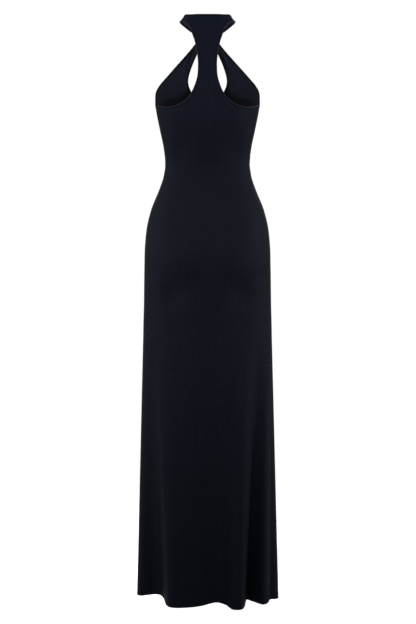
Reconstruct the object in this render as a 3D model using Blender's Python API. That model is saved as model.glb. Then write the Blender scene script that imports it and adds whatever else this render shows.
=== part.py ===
"""A racer-back halter maxi dress in stretch jersey, as it hangs when it is worn.

The dress stands upright at its real size, in metres. The wearer's front faces -Y and the wearer's left is +X.
Heights in the tables are above the hem. The origin is the centre of the neck opening, which is what holds it up.
"""

import bpy
import numpy as np

# Cloth and making, in metres.
CLOTH = 0.0016
HEM_CLOTH = 0.0026
HEM_TURN_UP = 0.020
HEM_STEP = 0.003
SEAM_GAP = 0.0003
BINDING_RADIUS = 0.0015
BINDING_SIDES = 6
BINDING_WIDTH = SEAM_GAP + 2 * BINDING_RADIUS
CROSSING_LIFT = 0.0024
CROSSING_SPREAD = 0.032

# Heights above the hem.
NECK_CENTRE = 1.500
FOLDS_BEGIN = 0.68
LIFT_FADES = 0.30
LEVEL_TOP = 1.220
STRIP_TOP = 1.4600

# How sharply the folds deepen on the way down, and where the columns leave the folds for the seams.
FOLD_POWER = 1.15
COLUMNS_SETTLE = (0.70, 1.15)

# Mesh divisions: columns from the middle to the side seam, and rows of each stretch.
BACK_STRIP_COLUMNS = 3
BACK_SIDE_COLUMNS = 13
COLLAR_WING_COLUMNS = 6
KEYHOLE_COLUMNS = 3
ARM_COLUMNS = 8
FRONT_SIDE_COLUMNS = 5
RISING_ROWS = 3
STRIP_ROWS = 11
COLLAR_ROWS = 3
ARM_ROWS = 18

# The worn form: half width, depth in front of and behind the neck's axis, and how square the section is.
SECTIONS = np.array(
    [
        (0.000, 0.1700, 0.118, 0.124, 2.1),
        (0.350, 0.1698, 0.116, 0.122, 2.1),
        (0.680, 0.1685, 0.113, 0.119, 2.1),
        (0.770, 0.1665, 0.110, 0.120, 2.15),
        (0.830, 0.1658, 0.107, 0.1245, 2.2),
        (0.900, 0.1645, 0.103, 0.131, 2.25),
        (0.955, 0.1600, 0.100, 0.127, 2.25),
        (1.010, 0.1475, 0.097, 0.110, 2.2),
        (1.060, 0.1275, 0.092, 0.089, 2.2),
        (1.100, 0.1145, 0.088, 0.076, 2.2),
        (1.130, 0.1110, 0.087, 0.072, 2.2),
        (1.165, 0.1140, 0.090, 0.073, 2.25),
        (1.220, 0.1250, 0.103, 0.080, 2.3),
        (1.270, 0.1348, 0.116, 0.0865, 2.4),
        (1.300, 0.1384, 0.1195, 0.089, 2.5),
        (1.320, 0.1397, 0.1180, 0.090, 2.6),
        (1.345, 0.1385, 0.1120, 0.0905, 2.6),
        (1.380, 0.1330, 0.100, 0.0885, 2.4),
        (1.430, 0.1200, 0.078, 0.0785, 2.2),
        (1.460, 0.1060, 0.067, 0.0700, 2.1),
        (1.475, 0.0945, 0.063, 0.0660, 2.05),
        (1.489, 0.0835, 0.059, 0.0625, 2.0),
        (1.5012, 0.0734, 0.056, 0.0600, 2.0),
        (1.5185, 0.0603, 0.053, 0.0560, 2.0),
        (1.5230, 0.0575, 0.052, 0.0545, 2.0),
    ],
    dtype=[(column, float) for column in ("height", "half_width", "front", "back", "square")],
)

# Soft fullness of the general figure: height, distance from the middle, spread each way, and depth.
SWELL_COLUMNS = ("height", "across", "spread_up", "spread_across", "depth")
FRONT_SWELLS = np.array(
    [(1.280, 0.066, 0.066, 0.048, 0.0095)],
    dtype=[(column, float) for column in SWELL_COLUMNS],
)
BACK_SWELLS = np.array(
    [
        (1.150, 0.070, 0.050, 0.024, -0.0040),
        (0.885, 0.072, 0.058, 0.050, 0.0060),
        (0.788, 0.089, 0.034, 0.030, -0.0100),
    ],
    dtype=[(column, float) for column in SWELL_COLUMNS],
)

# Ridges and valleys of the skirt, in order round it: where each starts on the plain skirt, as an angle from the
# middle of the back towards the wearer's left, and its place and lift at the hem.
FOLD_COLUMNS = [("fold", "U14"), ("start_angle", float), ("across", float), ("behind", float), ("lift", float)]
BACK_FOLDS = np.array(
    [
        ("left seam", 90, 0.1858, -0.012, 0.0005),
        ("left wing", 74, 0.1680, 0.016, 0.0030),
        ("left valley", 63, 0.1400, 0.013, 0.0058),
        ("left valley", 57, 0.1250, 0.022, 0.0068),
        ("left turn", 53, 0.1130, 0.050, 0.0035),
        ("left turn", 50, 0.1072, 0.090, 0.000),
        ("left ridge", 46, 0.0975, 0.121, -0.0012),
        ("left ridge", 37, 0.0756, 0.134, -0.0008),
        ("middle", 22, 0.0430, 0.131, 0.000),
        ("middle", 9, 0.0180, 0.124, 0.0015),
        ("middle valley", -8, -0.0220, 0.106, 0.0065),
        ("middle valley", -19, -0.0450, 0.120, 0.0042),
        ("right ridge", -28, -0.0630, 0.145, -0.0022),
        ("right ridge", -35, -0.0780, 0.152, -0.0015),
        ("right turn", -40, -0.0890, 0.140, -0.0015),
        ("right turn", -44, -0.0955, 0.105, -0.001),
        ("right turn", -47, -0.0985, 0.065, -0.001),
        ("deep valley", -50, -0.1020, 0.042, -0.001),
        ("side rise", -55, -0.1160, 0.061, -0.0012),
        ("side ridge", -63, -0.1410, 0.092, -0.0022),
        ("side turn", -69, -0.1545, 0.077, -0.0015),
        ("side valley", -74, -0.1620, 0.050, 0.0015),
        ("right wing", -81, -0.1760, 0.040, 0.000),
    ],
    dtype=FOLD_COLUMNS,
)
FRONT_FOLDS = np.array(
    [
        ("right seam", -90, -0.1853, 0.018, -0.001),
        ("right ridge", -103, -0.1800, -0.048, 0.001),
        ("right valley", -116, -0.1540, -0.078, 0.004),
        ("front ridge", -131, -0.1220, -0.124, 0.001),
        ("front valley", -145, -0.0860, -0.108, 0.004),
        ("front ridge", -160, -0.0500, -0.146, 0.001),
        ("front valley", -176, -0.0080, -0.120, 0.004),
        ("front ridge", -193, 0.0340, -0.143, 0.001),
        ("front valley", -209, 0.0720, -0.110, 0.004),
        ("front ridge", -224, 0.1090, -0.124, 0.001),
        ("left valley", -240, 0.1430, -0.082, 0.005),
        ("left ridge", -256, 0.1760, -0.064, 0.001),
    ],
    dtype=FOLD_COLUMNS,
)

# Finished edges, binding included. The racer back's edge runs from the side seam across to the strip and up it,
# as distance from the middle and height.
RACER_EDGE = np.array(
    [
        (0.1370, 1.2822),
        (0.1310, 1.2783),
        (0.1159, 1.2719),
        (0.1027, 1.2691),
        (0.0863, 1.2702),
        (0.0703, 1.2754),
        (0.0574, 1.2837),
        (0.0446, 1.2959),
        (0.0388, 1.3071),
        (0.0340, 1.3176),
        (0.0302, 1.3285),
        (0.0265, 1.3423),
        (0.0248, 1.3560),
        (0.0243, 1.3732),
        (0.0247, 1.3836),
        (0.0256, 1.3942),
        (0.0284, 1.4140),
        (0.0320, 1.4320),
        (0.0350, 1.4431),
        (0.0389, 1.4544),
        (0.0420, 1.4650),
    ],
    dtype=[("across", float), ("height", float)],
)
STRIP_BASE_ROW = 7

# The collar at the nape, by angle from the middle of the back: its lower edge, outside the strip, and its top.
COLLAR = np.array(
    [
        (20.0, 1.4560, 1.5105),
        (24.0, 1.4668, 1.5112),
        (30.0, 1.4772, 1.5113),
        (45.0, 1.4908, 1.5130),
        (65.0, 1.4985, 1.5170),
        (90.0, 1.5012, 1.5185),
    ],
    dtype=[("angle", float), ("lower", float), ("top", float)],
)
COLLAR_MIDDLE_TOP = 1.5098

# The armhole's front edge beside the seam, and the foot of the keyhole, by angle from the middle of the front.
RISE_COLUMNS = [("angle", float), ("height", float)]
ARMHOLE_FRONT = np.array(
    [(66.0, 1.3373), (72.0, 1.3245), (78.0, 1.3060), (84.0, 1.2900), (87.0, 1.2848), (90.0, 1.2822)],
    dtype=RISE_COLUMNS,
)
KEYHOLE_FOOT = np.array(
    [(0.0, 1.3160), (6.0, 1.3178), (12.0, 1.3250), (16.6, 1.3334)],
    dtype=RISE_COLUMNS,
)

# Each half of the front narrows to an arm that crosses the other at the throat and goes round to the other side of
# the neck. Both edges, from the bust to the far side: distance from the middle on the arm's own side, and height.
ARM_EDGE_COLUMNS = [
    ("inner_across", float),
    ("inner_height", float),
    ("outer_across", float),
    ("outer_height", float),
]
ARM_EDGES = np.array(
    [
        (0.0407, 1.3334, 0.1330, 1.3373),
        (0.0460, 1.3440, 0.1263, 1.3501),
        (0.0503, 1.3535, 0.1175, 1.3621),
        (0.0522, 1.3640, 0.1083, 1.3734),
        (0.0513, 1.3755, 0.0990, 1.3845),
        (0.0474, 1.3884, 0.0870, 1.3985),
        (0.0410, 1.4050, 0.0735, 1.4135),
        (0.0342, 1.4196, 0.0600, 1.4286),
        (0.0275, 1.4338, 0.0480, 1.4418),
        (0.0205, 1.4478, 0.0370, 1.4545),
        (0.0130, 1.4610, 0.0255, 1.4675),
        (0.0030, 1.4715, 0.0110, 1.4820),
        (-0.0090, 1.4775, -0.0040, 1.4915),
        (-0.0240, 1.4808, -0.0180, 1.4990),
        (-0.0390, 1.4845, -0.0320, 1.5055),
        (-0.0520, 1.4913, -0.0430, 1.5105),
        (-0.0638, 1.4980, -0.0525, 1.5150),
        (-0.0705, 1.5005, -0.0585, 1.5178),
        (-0.0734, 1.5012, -0.0603, 1.5185),
    ],
    dtype=ARM_EDGE_COLUMNS,
)

# Gathers that run down each arm from the throat: how many, how deep, and the share of the arm that they reach.
GATHERS = 1
GATHER_DEPTH = 0.0016
GATHER_REACH = 0.62
GATHERS_END = (8.0, 10.0)
GATHER_FULL_WIDTH = 0.035

ROW_HEIGHTS = np.array(
    [0.0, 0.020, 0.023, 0.09, 0.18, 0.28, 0.38, 0.48, 0.58, 0.68, 0.77, 0.83]
    + [0.87, 0.905, 0.94, 0.975, 1.01, 1.04, 1.07, 1.10, 1.13, 1.16, 1.19, 1.22]
)


def curve_through(at, places, values):
    """The smooth curve through the table's rows, with no overshoot between them."""
    at, places, values = (np.asarray(v, float) for v in (at, places, values))
    step = np.diff(places)
    slope = np.diff(values) / step
    before = step[1:] + 2 * step[:-1]
    after = 2 * step[1:] + step[:-1]
    same_way = slope[:-1] * slope[1:] > 0
    safe = np.where(same_way, slope[:-1], 1.0), np.where(same_way, slope[1:], 1.0)
    mean = (before + after) / (after / safe[0] + before / safe[1])
    tangent = np.concatenate([slope[:1], np.where(same_way, mean, 0.0), slope[-1:]])
    i = np.clip(np.searchsorted(places, at) - 1, 0, len(step) - 1)
    t = np.clip((at - places[i]) / step[i], 0.0, 1.0)
    return (
        values[i] * (1 + 2 * t) * (1 - t) ** 2
        + values[i + 1] * (3 - 2 * t) * t**2
        + tangent[i] * step[i] * t * (1 - t) ** 2
        - tangent[i + 1] * step[i] * t**2 * (1 - t)
    )


def section(height, column):
    return curve_through(height, SECTIONS["height"], SECTIONS[column])


def fullness(table, across, height):
    """The depth that the soft swells add, the same on both sides of the middle."""
    total = 0.0
    for row in table:
        up = (height - row["height"]) / row["spread_up"]
        beside = (np.abs(across) - row["across"]) / row["spread_across"]
        total = total + row["depth"] * np.exp(-(up**2) - beside**2)
    return total


def on_form(angle, height):
    """A point of the worn form, by angle in degrees from the middle of the back towards the wearer's left."""
    angle, height = np.broadcast_arrays(np.radians(angle), np.asarray(height, float))
    square = section(height, "square")
    sine, cosine = np.sin(angle), np.cos(angle)
    reach = (np.abs(sine) ** square + np.abs(cosine) ** square) ** (-1 / square)
    x = section(height, "half_width") * sine * reach
    behind = cosine > 0
    swell = np.where(behind, fullness(BACK_SWELLS, x, height), fullness(FRONT_SWELLS, x, height))
    depth = np.where(behind, section(height, "back"), section(height, "front"))
    y = depth * cosine * reach + swell * cosine * np.abs(cosine) ** 0.5
    return np.stack([x, y, height], axis=-1)


def angle_of(across, height):
    """The angle from the middle at which the form is that far across, 90 degrees at its side."""
    share = np.clip(np.abs(across) / section(height, "half_width"), 0.0, 1.0)
    square = section(height, "square")
    filled = np.minimum(share**square, 1 - 1e-12)
    return np.sign(across) * np.degrees(np.arctan((filled / (1 - filled)) ** (1 / square)))


def inset(angle, height, side):
    """A finished edge's line moved into the cloth, along the form, to where the panel itself is cut.

    The cloth is on the line's left when side is 1, and on its right when side is -1, seen from outside.
    """
    small_angle, small_height = 0.05, 0.0002
    by_angle = (on_form(angle + small_angle, height) - on_form(angle - small_angle, height)) / small_angle / 2
    by_height = (on_form(angle, height + small_height) - on_form(angle, height - small_height)) / small_height / 2
    along = np.gradient(on_form(angle, height), axis=0)
    along /= np.linalg.norm(along, axis=-1, keepdims=True)
    outward = np.cross(by_height, by_angle)
    outward /= np.linalg.norm(outward, axis=-1, keepdims=True)
    into = np.cross(outward, along) * side * BINDING_WIDTH
    aa, ah, hh = (np.sum(u * v, axis=-1) for u, v in ((by_angle, by_angle), (by_angle, by_height), (by_height,) * 2))
    a, h = np.sum(by_angle * into, axis=-1), np.sum(by_height * into, axis=-1)
    whole = aa * hh - ah * ah
    return angle + (a * hh - h * ah) / whole, height + (h * aa - a * ah) / whole


def smooth_step(low, high, value):
    t = np.clip((value - low) / (high - low), 0.0, 1.0)
    return t * t * (3 - 2 * t)


def fold_at(place, column):
    """The fold table's value at a place round the skirt, counted in rows, with the table closed on itself."""
    table = np.concatenate([BACK_FOLDS, FRONT_FOLDS])
    size, wrap = len(table), 3
    rows = np.arange(-wrap, size + wrap)
    turns = -360.0 * (rows // size) if column == "start_angle" else 0.0
    return curve_through(place, rows, table[column][rows % size] + turns)


def skirt_and_body(place, torso_angle, height):
    """Points of the panel's columns: folded at the hem, plain above the folds, and on the form at the body."""
    settled = smooth_step(*COLUMNS_SETTLE, height)
    angle = fold_at(place, "start_angle") * (1 - settled) + torso_angle * settled
    plain = on_form(angle, height)
    deep = np.clip((FOLDS_BEGIN - height) / FOLDS_BEGIN, 0.0, 1.0) ** FOLD_POWER
    lift = fold_at(place, "lift") * np.clip(1 - height / LIFT_FADES, 0.0, 1.0)
    hem_x, hem_y = fold_at(place, "across"), fold_at(place, "behind")
    x = plain[..., 0] * (1 - deep) + hem_x * deep
    y = plain[..., 1] * (1 - deep) + hem_y * deep
    return np.stack([x, y, height + lift], axis=-1)


def rows_to(top):
    """Row heights for each column: level rows up to the bust, then rows that rise to the panel's own top edge."""
    level = np.repeat(ROW_HEIGHTS[:, None], len(top), axis=1)
    share = (np.arange(RISING_ROWS) + 1)[:, None] / RISING_ROWS
    return np.concatenate([level, LEVEL_TOP + share * (top - LEVEL_TOP)[None, :]])


def both_sides(half):
    """Angles from the wearer's left to the right, made from those of one side, given outwards from the middle."""
    return np.concatenate([half[::-1], -half[1:]])


class Sheet:
    """A sheet of cloth: points, faces and the loops of points along its edges."""

    def __init__(self):
        self.points = []
        self.faces = []

    def add_grid(self, points, shared=None):
        """Adds a grid of points and its faces. The first row may be points that the sheet has already."""
        rows, columns = points.shape[:2]
        index = np.zeros((rows, columns), int)
        for r in range(rows):
            for c in range(columns):
                if r == 0 and shared is not None and shared[c] >= 0:
                    index[r, c] = shared[c]
                    continue
                index[r, c] = len(self.points)
                self.points.append(points[r, c])
        for r in range(rows - 1):
            for c in range(columns - 1):
                self.faces.append((index[r, c], index[r, c + 1], index[r + 1, c + 1], index[r + 1, c]))
        return index

    def normals(self):
        """Unit normals at the points, the mean of their faces."""
        points = np.array(self.points)
        quads = points[np.array(self.faces)]
        across = np.cross(quads[:, 2] - quads[:, 0], quads[:, 3] - quads[:, 1])
        total = np.zeros_like(points)
        for corner in range(4):
            np.add.at(total, np.array(self.faces)[:, corner], across)
        return total / np.linalg.norm(total, axis=1, keepdims=True)


def triangles(sheet):
    """The sheet's faces, each split along its shorter diagonal, so that both faces of the wall are split alike."""
    made = []
    for a, b, c, d in sheet.faces:
        first, second = np.subtract(sheet.points[a], sheet.points[c]), np.subtract(sheet.points[b], sheet.points[d])
        if np.dot(first, first) <= np.dot(second, second):
            made += [(a, b, c), (a, c, d)]
        else:
            made += [(a, b, d), (b, c, d)]
    return made


def wall_object(name, sheet, normals, thickness, material):
    """The sheet as a closed wall, thickened to its inside."""
    outer = np.array(sheet.points)
    inner = outer - normals * thickness[:, None]
    count = len(outer)
    split = triangles(sheet)
    faces = split + [tuple(count + i for i in reversed(f)) for f in split]
    edges = set()
    for face in split:
        edges.update(zip(face, face[1:] + face[:1]))
    for a, b in sorted(edges):
        if (b, a) not in edges:
            faces.append((b, a, a + count, b + count))
    return mesh_object(name, np.concatenate([outer, inner]), faces, material)


def mesh_object(name, points, faces, material):
    mesh = bpy.data.meshes.new(name)
    mesh.from_pydata([tuple(p) for p in points], [], [tuple(int(i) for i in f) for f in faces])
    mesh.materials.append(material)
    mesh.shade_smooth()
    mesh.set_sharp_from_angle(angle=np.radians(50))
    made = bpy.data.objects.new(name, mesh)
    bpy.context.scene.collection.objects.link(made)
    return made


def back_sheet():
    """The back in one piece: skirt, racer back, strip and collar. Returns the sheet and its named edges."""
    sheet = Sheet()
    racer_angles = angle_of(RACER_EDGE["across"], RACER_EDGE["height"])
    racer_angles[0] = 90.0
    racer_angles, racer_heights = inset(racer_angles, RACER_EDGE["height"], -1)
    racer_angles[0] = 90.0
    strip_angle, strip_base = racer_angles[STRIP_BASE_ROW], racer_heights[STRIP_BASE_ROW]
    half = np.concatenate(
        [
            np.linspace(0, strip_angle, BACK_STRIP_COLUMNS + 1),
            np.linspace(strip_angle, 90, BACK_SIDE_COLUMNS + 1)[1:],
        ]
    )
    angles = both_sides(half)
    lower_part = slice(STRIP_BASE_ROW, None, -1)
    top = curve_through(np.abs(angles), racer_angles[lower_part], racer_heights[lower_part])
    top = np.where(np.abs(angles) < strip_angle, strip_base, top)
    places = np.linspace(0, len(BACK_FOLDS), len(angles))
    main = sheet.add_grid(skirt_and_body(places[None, :], angles[None, :], rows_to(top)))

    middle = slice(BACK_SIDE_COLUMNS, BACK_SIDE_COLUMNS + 2 * BACK_STRIP_COLUMNS + 1)
    heights = np.linspace(strip_base, STRIP_TOP, STRIP_ROWS + 1)
    edge = curve_through(heights, racer_heights[STRIP_BASE_ROW:], racer_angles[STRIP_BASE_ROW:])
    shares = np.linspace(1, -1, 2 * BACK_STRIP_COLUMNS + 1)
    strip_points = on_form(edge[:, None] * shares[None, :], heights[:, None])
    strip = sheet.add_grid(strip_points, shared=main[-1, middle])

    rim = edge[-1]
    lower_angle, lower_height = inset(COLLAR["angle"], COLLAR["lower"], -1)
    lower_angle[0], lower_height[0], lower_angle[-1] = rim, STRIP_TOP, 90.0
    top_angle, top_height = inset(COLLAR["angle"], COLLAR["top"], 1)
    top_angle, top_height = np.append(0.0, top_angle), np.append(COLLAR_MIDDLE_TOP - BINDING_WIDTH, top_height)
    top_angle[-1] = 90.0
    wing = np.linspace(rim, 90, COLLAR_WING_COLUMNS + 1)[1:]
    collar_angles = both_sides(np.concatenate([np.linspace(0, rim, BACK_STRIP_COLUMNS + 1), wing]))
    lower = curve_through(np.abs(collar_angles), lower_angle, lower_height)
    upper = curve_through(np.abs(collar_angles), top_angle, top_height)
    share = np.linspace(0, 1, COLLAR_ROWS + 1)[:, None]
    collar_points = on_form(collar_angles[None, :], lower[None, :] * (1 - share) + upper[None, :] * share)
    shared = np.full(len(collar_angles), -1)
    shared[COLLAR_WING_COLUMNS:-COLLAR_WING_COLUMNS] = strip[-1]
    collar = sheet.add_grid(collar_points, shared=shared)

    first, last = BACK_SIDE_COLUMNS, BACK_SIDE_COLUMNS + 2 * BACK_STRIP_COLUMNS
    wings = COLLAR_WING_COLUMNS
    edges = {
        "left_seam": main[:, 0],
        "right_seam": main[:, -1],
        "left_armhole": np.concatenate([collar[0, :wings], strip[::-1, 0], main[-1, :first][::-1]]),
        "right_armhole": np.concatenate([collar[0, -wings:][::-1], strip[::-1, -1], main[-1, last + 1 :]]),
        "left_neck": collar[:, 0],
        "right_neck": collar[:, -1],
        "nape": collar[-1],
    }
    return sheet, edges


def arm_points(side, columns):
    """One half of the front from the bust to the far side of the neck. side is 1 for the wearer's left."""
    rows = np.linspace(0, len(ARM_EDGES) - 1, ARM_ROWS + 1)
    place = np.arange(len(ARM_EDGES))
    inner_h, outer_h = (curve_through(rows, place, ARM_EDGES[c]) for c in ("inner_height", "outer_height"))
    inner_x, outer_x = (curve_through(rows, place, ARM_EDGES[c]) for c in ("inner_across", "outer_across"))
    inner_a, inner_h = inset(180 - angle_of(inner_x, inner_h), inner_h, -1)
    outer_a, outer_h = inset(180 - angle_of(outer_x, outer_h), outer_h, 1)
    inner_a, outer_a = 180 - inner_a, 180 - outer_a
    inner_a[-1] = outer_a[-1] = -90.0
    share = np.linspace(0, 1, columns + 1)[None, :]
    height = inner_h[:, None] * (1 - share) + outer_h[:, None] * share
    angle = side * (inner_a[:, None] * (1 - share) + outer_a[:, None] * share)
    points = on_form(180 - angle, height)
    points[..., 0] = np.abs(points[..., 0]) * np.sign(np.where(angle == 0, 1, angle))
    outward = points * [1, 1, 0] / np.linalg.norm(points[..., :2], axis=-1)[..., None]
    middle = np.exp(-((points[..., 0] / CROSSING_SPREAD) ** 2))
    up_arm = smooth_step(1 - GATHER_REACH, 1.0, np.minimum(rows / 11.0, 1.0))[:, None]
    fade = up_arm * (1 - smooth_step(*GATHERS_END, rows))[:, None]
    width = np.linalg.norm(points[:, 0] - points[:, -1], axis=-1)
    depth = GATHER_DEPTH * fade * np.minimum(1.0, width / GATHER_FULL_WIDTH)[:, None]
    gather = depth * np.cos(2 * np.pi * (GATHERS + 0.5) * share)
    crossing = side * CROSSING_LIFT * middle * smooth_step(1.42, 1.455, height)
    return points + outward * (gather + crossing)[..., None]


def front_sheet():
    """The front in one piece: skirt, bodice, and the two arms of the halter."""
    sheet = Sheet()
    foot_angle, foot_height = inset(180 - KEYHOLE_FOOT["angle"], KEYHOLE_FOOT["height"], -1)
    side_angle, side_height = inset(180 - ARMHOLE_FRONT["angle"], ARMHOLE_FRONT["height"], -1)
    foot_angle, side_angle = 180 - foot_angle, 180 - side_angle
    foot_angle[0], side_angle[-1] = 0.0, 90.0
    keyhole_angle, arm_angle = foot_angle[-1], side_angle[0]
    left, right = arm_points(1, ARM_COLUMNS), arm_points(-1, ARM_COLUMNS)
    base_share = np.linspace(0, 1, ARM_COLUMNS + 1)
    half = np.concatenate(
        [
            np.linspace(0, keyhole_angle, KEYHOLE_COLUMNS + 1),
            keyhole_angle + base_share[1:] * (arm_angle - keyhole_angle),
            np.linspace(arm_angle, 90, FRONT_SIDE_COLUMNS + 1)[1:],
        ]
    )
    angles = both_sides(half)[::-1]
    foot = curve_through(np.abs(angles), foot_angle, foot_height)
    side = curve_through(np.abs(angles), side_angle, side_height)
    arm_share = np.clip((np.abs(angles) - keyhole_angle) / (arm_angle - keyhole_angle), 0, 1)
    arm = foot_height[-1] + arm_share * (side_height[0] - foot_height[-1])
    top = np.where(np.abs(angles) <= keyhole_angle, foot, np.where(np.abs(angles) < arm_angle, arm, side))
    size = len(BACK_FOLDS)
    places = np.linspace(size, size + len(FRONT_FOLDS), len(angles))
    main = sheet.add_grid(skirt_and_body(places[None, :], -180 - angles[None, :], rows_to(top)))

    sides, arms = FRONT_SIDE_COLUMNS, ARM_COLUMNS
    right_columns = main[-1, sides : sides + arms + 1]
    left_columns = main[-1, -sides - arms - 1 : -sides]
    right_arm = sheet.add_grid(right[:, ::-1], shared=right_columns)
    left_arm = sheet.add_grid(left, shared=left_columns)
    foot_of_keyhole = main[-1, sides + arms : -sides - arms]
    edges = {
        "right_seam": main[:, 0],
        "left_seam": main[:, -1],
        "left_armhole": np.concatenate([main[-1, -sides:][::-1], left_arm[:, -1]]),
        "right_armhole": np.concatenate([main[-1, :sides], right_arm[:, 0]]),
        "keyhole": np.concatenate([right_arm[:0:-1, -1], foot_of_keyhole, left_arm[1:, 0]]),
        "left_neck": right_arm[-1],
        "right_neck": left_arm[-1],
    }
    return sheet, edges


def draw_back(sheet, edge):
    """Draws a seam's points back by half the seam gap, each towards its neighbour in the panel."""
    for i, j in zip(edge, neighbours(sheet, edge)):
        away = np.array(sheet.points[j]) - np.array(sheet.points[i])
        sheet.points[i] = np.array(sheet.points[i]) + away / np.linalg.norm(away) * SEAM_GAP / 2


def neighbours(sheet, edge):
    """For each point of an edge, the point next to it inside the sheet."""
    on_edge = set(int(i) for i in edge)
    found = {}
    for face in sheet.faces:
        for a, b in zip(face, face[1:] + face[:1]):
            if a in on_edge and b not in on_edge:
                found[a] = b
            if b in on_edge and a not in on_edge:
                found[b] = a
    return [found[int(i)] for i in edge]


def share_normals(first, first_edge, second, second_edge):
    """Gives the two sides of a seam the same normals, so that their cut faces stand parallel."""
    mean = first[first_edge] + second[second_edge]
    mean /= np.linalg.norm(mean, axis=1, keepdims=True)
    first[first_edge] = mean
    second[second_edge] = mean


def stand_square(normals, edge):
    """Turns the normals at the side of the neck square to its seam, which lies in the plane of the sides."""
    normals[edge, 1] = 0.0
    normals[edge] /= np.linalg.norm(normals[edge], axis=1, keepdims=True)


def outward_of(sheet, normals, edge):
    """Unit directions at an edge's points that lie in the cloth and point away from the panel."""
    inside = neighbours(sheet, edge)
    points = np.array(sheet.points)
    path = points[edge]
    along = np.gradient(path, axis=0)
    along /= np.linalg.norm(along, axis=1, keepdims=True)
    normal = normals[edge]
    side = np.cross(along, normal)
    side /= np.linalg.norm(side, axis=1, keepdims=True)
    inward = points[inside] - path
    facing = np.sign(np.sum(side * inward, axis=1))
    return -side * facing[:, None]


def binding_path(sheet, normals, edge):
    """The middle of a binding along an edge, just clear of the cloth, with the directions of its section."""
    outward = outward_of(sheet, normals, edge)
    normal = normals[edge]
    path = np.array(sheet.points)[edge]
    path = path - normal * CLOTH / 2 + outward * (SEAM_GAP + BINDING_RADIUS)
    return path, normal, outward


def trimmed(path, end, amount):
    """Draws one end of a path back along itself."""
    path = path.copy()
    first, second = (0, 1) if end == "start" else (-1, -2)
    along = path[second] - path[first]
    path[first] = path[first] + along / np.linalg.norm(along) * amount
    return path


def binding_object(name, stretches, material):
    """A round-edged strip carried along one edge, or along two that meet at a seam."""
    path, normal = stretches[0][:2]
    for following in stretches[1:]:
        seam = (path[-1:] + following[0][:1]) / 2
        path = np.concatenate([path[:-1], seam, following[0][1:]])
        normal = np.concatenate([normal[:-1], following[1]])
    path = trimmed(trimmed(path, "start", SEAM_GAP / 2), "end", SEAM_GAP / 2)
    along = np.gradient(path, axis=0)
    along /= np.linalg.norm(along, axis=1, keepdims=True)
    beside = np.cross(along, normal)
    beside /= np.linalg.norm(beside, axis=1, keepdims=True)
    up = np.cross(beside, along)
    turn = 2 * np.pi * np.arange(BINDING_SIDES) / BINDING_SIDES
    section_x, section_y = BINDING_RADIUS * np.cos(turn), BINDING_RADIUS * np.sin(turn)
    ring = beside[:, None] * section_x[None, :, None] + up[:, None] * section_y[None, :, None]
    points = (path[:, None] + ring).reshape(-1, 3)
    faces = []
    for r in range(len(path) - 1):
        for k in range(BINDING_SIDES):
            a, b = r * BINDING_SIDES + k, r * BINDING_SIDES + (k + 1) % BINDING_SIDES
            faces.append((a, a + BINDING_SIDES, b + BINDING_SIDES, b))
    last = (len(path) - 1) * BINDING_SIDES
    faces.append(tuple(range(BINDING_SIDES)))
    faces.append(tuple(last + k for k in reversed(range(BINDING_SIDES))))
    return mesh_object(name, points, faces, material)


def cloth_material(name, colour, roughness):
    material = bpy.data.materials.new(name)
    material.use_nodes = True
    shader = material.node_tree.nodes["Principled BSDF"]
    shader.inputs["Base Color"].default_value = (*colour, 1.0)
    shader.inputs["Roughness"].default_value = roughness
    shader.inputs["Metallic"].default_value = 0.0
    return material


def main():
    for old in list(bpy.data.objects):
        bpy.data.objects.remove(old)
    back, back_edges = back_sheet()
    front, front_edges = front_sheet()
    back_normals, front_normals = back.normals(), front.normals()
    for seam in ("left_seam", "right_seam"):
        share_normals(back_normals, back_edges[seam], front_normals, front_edges[seam])
    for seam in ("left_neck", "right_neck"):
        stand_square(back_normals, back_edges[seam])
        stand_square(front_normals, front_edges[seam])
    for seam in ("left_seam", "right_seam", "left_neck", "right_neck"):
        draw_back(back, back_edges[seam])
        draw_back(front, front_edges[seam])

    cloth = cloth_material("jersey", (0.010, 0.011, 0.016), 0.62)
    edge_cloth = cloth_material("jersey_binding", (0.012, 0.013, 0.018), 0.55)
    made = []
    for name, sheet, normals in (("back", back, back_normals), ("front", front, front_normals)):
        height = np.array(sheet.points)[:, 2]
        turned = 1 - smooth_step(HEM_TURN_UP, HEM_TURN_UP + HEM_STEP, height)
        made.append(wall_object(name, sheet, normals, CLOTH + (HEM_CLOTH - CLOTH) * turned, cloth))

    for side, other in (("left", "right"), ("right", "left")):
        behind = binding_path(back, back_normals, back_edges[f"{side}_armhole"])
        before = binding_path(front, front_normals, front_edges[f"{side}_armhole"])
        made.append(binding_object(f"armhole_binding_{side}", [behind, before], edge_cloth))
    keyhole = binding_path(front, front_normals, front_edges["keyhole"])
    made.append(binding_object("keyhole_binding", [keyhole], edge_cloth))
    nape = binding_path(back, back_normals, back_edges["nape"])
    made.append(binding_object("nape_binding", [nape], edge_cloth))

    dress = bpy.data.objects.new("dress", None)
    dress.location = (0.0, 0.0, -NECK_CENTRE)
    bpy.context.scene.collection.objects.link(dress)
    for piece in made:
        piece.parent = dress


if __name__ == "__main__":
    main()
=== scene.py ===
"""The looks of a racer-back halter maxi dress: cloth, edges, sewing, floor, light and camera.

Sizes are in metres. The wearer's front faces -Y and the wearer's left is +X. Heights in the tables are
above the hem, and the origin is the centre of the neck opening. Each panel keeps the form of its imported
solid, drawn finer.
"""

import math

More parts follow.
